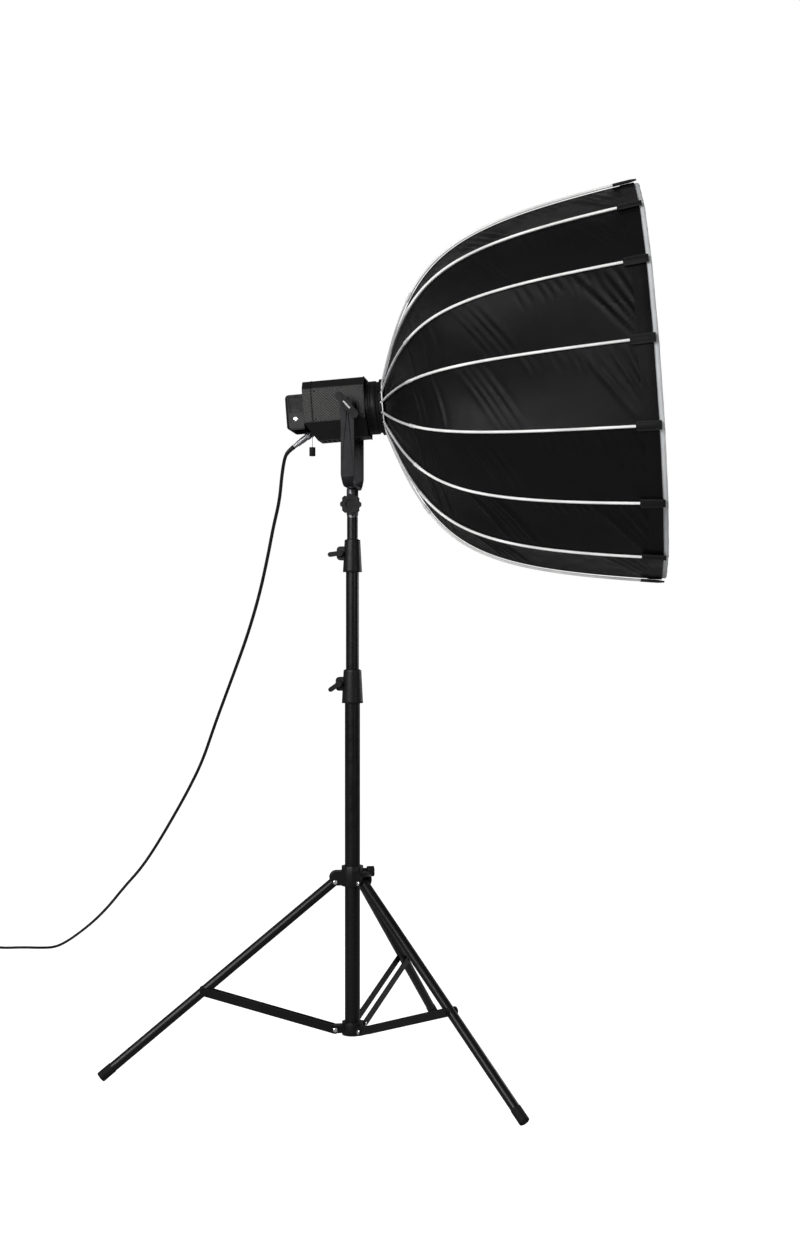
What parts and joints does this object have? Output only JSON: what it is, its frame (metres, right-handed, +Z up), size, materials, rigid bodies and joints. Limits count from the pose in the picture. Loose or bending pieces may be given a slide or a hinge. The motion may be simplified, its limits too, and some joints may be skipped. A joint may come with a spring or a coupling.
{
  "type": "octabox on a lamp and stand",
  "caption": "Deep parabolic softbox with folding ribs, a white front cloth, a lamp head, a tilting yoke and a telescopic tripod stand with folding legs.",
  "frame": {"origin": "bottom centre of the box round the object without its cords, on the floor; the mast stands at x -0.0786, y -0.0532 m", "axes": "+Z up along the mast, +X the way the softbox points seen from above, +Y to its left"},
  "size_m": [2.1184, 1.7964, 2.0214],
  "materials": {
    "black_tube": "black anodised, satin",
    "brace_bar": "black anodised, satin",
    "cast_black": "moulded, fine grain",
    "knob_black": "moulded, fine grain",
    "foot_rubber": "matt rubber",
    "bright_steel": "turned",
    "yoke_paint": "satin black powder coat",
    "lamp_body": "black, fine woven pattern on the sides",
    "lamp_trim": "moulded, satin",
    "lamp_ring": "black anodised",
    "heat_sink_metal": "plain",
    "fan_plastic": "moulded",
    "led_board": "phosphor window on a metal board",
    "connector_metal": "turned, knurled nut",
    "cable_rubber": "satin sheath",
    "canopy_fabric": "satin weave, silver inside",
    "diffuser_fabric": "translucent plain weave",
    "rib_white": "light grey glass-fibre rod"
  },
  "bodies": {
    "column": {"column_tube": "black_tube", "column_collar": "cast_black", "leg_spider": "cast_black", "power_cable": "cable_rubber", "cable_coil": "cable_rubber", "cable_end_plug": "connector_metal"},
    "column_collar_knob": {"column_collar_knob": "knob_black"},
    "mid_mast": {"mid_tube": "black_tube", "mid_collar": "cast_black"},
    "mid_collar_knob": {"mid_collar_knob": "knob_black"},
    "top_mast": {"top_tube": "black_tube", "top_spigot": "bright_steel"},
    "leg_hub": {"leg_hub": "cast_black"},
    "hub_lock_knob": {"hub_lock_knob": "knob_black"},
    "leg_1": {"leg_1": "black_tube", "foot_1": "foot_rubber"},
    "leg_2": {"leg_2": "black_tube", "foot_2": "foot_rubber"},
    "leg_3": {"leg_3": "black_tube", "foot_3": "foot_rubber"},
    "leg_brace_1": {"leg_brace_1": "brace_bar"},
    "leg_brace_2": {"leg_brace_2": "brace_bar"},
    "leg_brace_3": {"leg_brace_3": "brace_bar"},
    "yoke": {"yoke_bracket": "yoke_paint", "yoke_receiver": "yoke_paint", "pivot_bolt": "bright_steel"},
    "receiver_knob": {"receiver_knob": "knob_black"},
    "tilt_lock_lever": {"tilt_lock_lever": "knob_black"},
    "lamp": {"lamp_housing": "lamp_body", "rear_cover": "lamp_trim", "mount_ring": "lamp_ring", "heat_sink": "heat_sink_metal", "fan_frame": "fan_plastic", "led_module": "led_board", "rear_handle": "lamp_trim", "cable_plug": "connector_metal"},
    "fan_rotor": {"fan_rotor": "fan_plastic"},
    "control_dial": {"control_dial": "knob_black"},
    "mount_latch": {"mount_latch": "knob_black"},
    "hanging_cap": {"cap_lanyard": "cable_rubber", "socket_cap": "foot_rubber"},
    "softbox": {"speed_ring": "lamp_ring", "canopy_skin": "canopy_fabric", "front_diffuser": "diffuser_fabric"},
    "rib_01": {"rib_01": "rib_white"},
    "rib_02": {"rib_02": "rib_white"},
    "rib_03": {"rib_03": "rib_white"},
    "rib_04": {"rib_04": "rib_white"},
    "rib_05": {"rib_05": "rib_white"},
    "rib_06": {"rib_06": "rib_white"},
    "rib_07": {"rib_07": "rib_white"},
    "rib_08": {"rib_08": "rib_white"},
    "rib_09": {"rib_09": "rib_white"},
    "rib_10": {"rib_10": "rib_white"},
    "rib_11": {"rib_11": "rib_white"},
    "rib_12": {"rib_12": "rib_white"},
    "rib_13": {"rib_13": "rib_white"},
    "rib_14": {"rib_14": "rib_white"},
    "rib_15": {"rib_15": "rib_white"},
    "rib_16": {"rib_16": "rib_white"}
  },
  "joints": [
    {"name": "tripod_fold", "type": "slide", "parent": "column", "child": "leg_hub", "axis": [0, 0, 1], "range_m": [0, 0.35867]},
    {"name": "leg_1_fold", "type": "hinge", "parent": "leg_hub", "child": "leg_1", "pos_m": [-0.11903, -0.06453, 0.435], "axis": [0.2689, -0.9632, 0], "range_deg": [0, 48.1]},
    {"name": "leg_2_fold", "type": "hinge", "parent": "leg_hub", "child": "leg_2", "pos_m": [-0.04856, -0.08262, 0.435], "axis": [0.6997, 0.7145, 0], "range_deg": [0, 48.1]},
    {"name": "leg_3_fold", "type": "hinge", "parent": "leg_hub", "child": "leg_3", "pos_m": [-0.06813, -0.01255, 0.435], "axis": [-0.9686, 0.2487, 0], "range_deg": [0, 48.1]},
    {"name": "leg_brace_1_fold", "type": "hinge", "parent": "column", "child": "leg_brace_1", "pos_m": [-0.11903, -0.06453, 0.097], "axis": [-0.2689, 0.9632, 0], "range_deg": [0, 68.34]},
    {"name": "leg_brace_2_fold", "type": "hinge", "parent": "column", "child": "leg_brace_2", "pos_m": [-0.04856, -0.08262, 0.097], "axis": [-0.6997, -0.7145, 0], "range_deg": [0, 68.34]},
    {"name": "leg_brace_3_fold", "type": "hinge", "parent": "column", "child": "leg_brace_3", "pos_m": [-0.06813, -0.01255, 0.097], "axis": [0.9686, -0.2487, 0], "range_deg": [0, 68.34]},
    {"name": "hub_lock_turn", "type": "hinge", "parent": "leg_hub", "child": "hub_lock_knob", "pos_m": [-0.04005, -0.04247, 0.456], "axis": [0.9632, 0.2689, 0], "range_deg": [0, 270]},
    {"name": "column_collar_lever_turn", "type": "hinge", "parent": "column", "child": "column_collar_knob", "pos_m": [-0.10857, -0.05323, 0.888], "axis": [0, 1, 0], "range_deg": [0, 120]},
    {"name": "mid_mast_slide", "type": "slide", "parent": "column", "child": "mid_mast", "axis": [0, 0, 1], "range_m": [-0.22, 0.43]},
    {"name": "mid_collar_lever_turn", "type": "hinge", "parent": "mid_mast", "child": "mid_collar_knob", "pos_m": [-0.10607, -0.05323, 1.188], "axis": [0, 1, 0], "range_deg": [0, 95]},
    {"name": "top_mast_slide", "type": "slide", "parent": "mid_mast", "child": "top_mast", "axis": [0, 0, 1], "range_m": [-0.05, 0.68]},
    {"name": "yoke_pan", "type": "hinge", "parent": "top_mast", "child": "yoke", "pos_m": [-0.07857, -0.05323, 1.276], "axis": [0, 0, 1], "continuous": true},
    {"name": "receiver_knob_turn", "type": "hinge", "parent": "yoke", "child": "receiver_knob", "pos_m": [-0.07857, -0.08323, 1.299], "axis": [0, -1, 0], "range_deg": [0, 270]},
    {"name": "tilt_lock_turn", "type": "hinge", "parent": "yoke", "child": "tilt_lock_lever", "pos_m": [-0.07857, -0.05323, 1.518], "axis": [0, -1, 0], "range_deg": [0, 90]},
    {"name": "lamp_tilt", "type": "hinge", "parent": "yoke", "child": "lamp", "pos_m": [-0.07857, -0.05323, 1.518], "axis": [0, -1, 0], "range_deg": [-25, 45], "deforming": ["power_cable"]},
    {"name": "fan_spin", "type": "hinge", "parent": "lamp", "child": "fan_rotor", "pos_m": [-0.14837, -0.05323, 1.51274], "axis": [0.9972, 0, 0.0752], "continuous": true},
    {"name": "dial_turn", "type": "hinge", "parent": "lamp", "child": "control_dial", "pos_m": [-0.19007, -0.05323, 1.53367], "axis": [0.9972, 0, 0.0752], "continuous": true},
    {"name": "mount_latch_pull", "type": "slide", "parent": "lamp", "child": "mount_latch", "axis": [-0.9972, 0, -0.0752], "range_m": [0, 0.006], "stiffness_N_per_m": 300},
    {"name": "cap_swing", "type": "hinge", "parent": "lamp", "child": "hanging_cap", "pos_m": [-0.17001, -0.06423, 1.46568], "axis": [0, 1, 0], "range_deg": [-25, 35]},
    {"name": "softbox_twist", "type": "hinge", "parent": "lamp", "child": "softbox", "pos_m": [-0.07857, -0.05323, 1.518], "axis": [0.9972, 0, 0.0752], "range_deg": [0, 22]},
    {"name": "rib_01_fold", "type": "hinge", "parent": "softbox", "child": "rib_01", "pos_m": [-0.0051, -0.10907, 1.5278], "axis": [-0.0749, 0.0758, 0.9943], "range_deg": [0, 32], "deforming": ["canopy_skin", "front_diffuser"]},
    {"name": "rib_02_fold", "type": "hinge", "parent": "softbox", "child": "rib_02", "pos_m": [-0.00668, -0.10319, 1.54878], "axis": [-0.0671, 0.4517, 0.8897], "range_deg": [0, 32]},
    {"name": "rib_03_fold", "type": "hinge", "parent": "softbox", "child": "rib_03", "pos_m": [-0.00797, -0.08971, 1.56593], "axis": [-0.049, 0.7587, 0.6496], "range_deg": [0, 32]},
    {"name": "rib_04_fold", "type": "hinge", "parent": "softbox", "child": "rib_04", "pos_m": [-0.00878, -0.07068, 1.57662], "axis": [-0.0234, 0.9502, 0.3106], "range_deg": [0, 32]},
    {"name": "rib_05_fold", "type": "hinge", "parent": "softbox", "child": "rib_05", "pos_m": [-0.00898, -0.04898, 1.57924], "axis": [0.0057, 0.9971, -0.0756], "range_deg": [0, 32]},
    {"name": "rib_06_fold", "type": "hinge", "parent": "softbox", "child": "rib_06", "pos_m": [-0.00854, -0.02794, 1.57338], "axis": [0.0339, 0.8922, -0.4504], "range_deg": [0, 32]},
    {"name": "rib_07_fold", "type": "hinge", "parent": "softbox", "child": "rib_07", "pos_m": [-0.00752, -0.01074, 1.55994], "axis": [0.057, 0.6514, -0.7566], "range_deg": [0, 32]},
    {"name": "rib_08_fold", "type": "hinge", "parent": "softbox", "child": "rib_08", "pos_m": [-0.00609, -0.00002, 1.54096], "axis": [0.0714, 0.3115, -0.9476], "range_deg": [0, 32]},
    {"name": "rib_09_fold", "type": "hinge", "parent": "softbox", "child": "rib_09", "pos_m": [-0.00446, 0.00261, 1.51933], "axis": [0.0749, -0.0758, -0.9943], "range_deg": [0, 32]},
    {"name": "rib_10_fold", "type": "hinge", "parent": "softbox", "child": "rib_10", "pos_m": [-0.00288, -0.00327, 1.49834], "axis": [0.0671, -0.4517, -0.8897], "range_deg": [0, 32]},
    {"name": "rib_11_fold", "type": "hinge", "parent": "softbox", "child": "rib_11", "pos_m": [-0.00159, -0.01675, 1.48119], "axis": [0.049, -0.7587, -0.6496], "range_deg": [0, 32]},
    {"name": "rib_12_fold", "type": "hinge", "parent": "softbox", "child": "rib_12", "pos_m": [-0.00078, -0.03579, 1.4705], "axis": [0.0234, -0.9502, -0.3106], "range_deg": [0, 32]},
    {"name": "rib_13_fold", "type": "hinge", "parent": "softbox", "child": "rib_13", "pos_m": [-0.00059, -0.05748, 1.46788], "axis": [-0.0057, -0.9971, 0.0756], "range_deg": [0, 32]},
    {"name": "rib_14_fold", "type": "hinge", "parent": "softbox", "child": "rib_14", "pos_m": [-0.00103, -0.07852, 1.47374], "axis": [-0.0339, -0.8922, 0.4504], "range_deg": [0, 32]},
    {"name": "rib_15_fold", "type": "hinge", "parent": "softbox", "child": "rib_15", "pos_m": [-0.00204, -0.09572, 1.48718], "axis": [-0.057, -0.6514, 0.7566], "range_deg": [0, 32]},
    {"name": "rib_16_fold", "type": "hinge", "parent": "softbox", "child": "rib_16", "pos_m": [-0.00347, -0.10645, 1.50617], "axis": [-0.0714, -0.3115, 0.9476], "range_deg": [0, 32]}
  ],
  "couplings": [
    {"joint": "leg_1_fold", "follows": "tripod_fold", "rad_per_m": 2.3406},
    {"joint": "leg_2_fold", "follows": "tripod_fold", "rad_per_m": 2.3406},
    {"joint": "leg_3_fold", "follows": "tripod_fold", "rad_per_m": 2.3406},
    {"joint": "leg_brace_1_fold", "follows": "tripod_fold", "rad_per_m": 3.3256},
    {"joint": "leg_brace_2_fold", "follows": "tripod_fold", "rad_per_m": 3.3256},
    {"joint": "leg_brace_3_fold", "follows": "tripod_fold", "rad_per_m": 3.3256},
    {"joint": "rib_02_fold", "follows": "rib_01_fold", "ratio": 1},
    {"joint": "rib_03_fold", "follows": "rib_01_fold", "ratio": 1},
    {"joint": "rib_04_fold", "follows": "rib_01_fold", "ratio": 1},
    {"joint": "rib_05_fold", "follows": "rib_01_fold", "ratio": 1},
    {"joint": "rib_06_fold", "follows": "rib_01_fold", "ratio": 1},
    {"joint": "rib_07_fold", "follows": "rib_01_fold", "ratio": 1},
    {"joint": "rib_08_fold", "follows": "rib_01_fold", "ratio": 1},
    {"joint": "rib_09_fold", "follows": "rib_01_fold", "ratio": 1},
    {"joint": "rib_10_fold", "follows": "rib_01_fold", "ratio": 1},
    {"joint": "rib_11_fold", "follows": "rib_01_fold", "ratio": 1},
    {"joint": "rib_12_fold", "follows": "rib_01_fold", "ratio": 1},
    {"joint": "rib_13_fold", "follows": "rib_01_fold", "ratio": 1},
    {"joint": "rib_14_fold", "follows": "rib_01_fold", "ratio": 1},
    {"joint": "rib_15_fold", "follows": "rib_01_fold", "ratio": 1},
    {"joint": "rib_16_fold", "follows": "rib_01_fold", "ratio": 1}
  ]
}
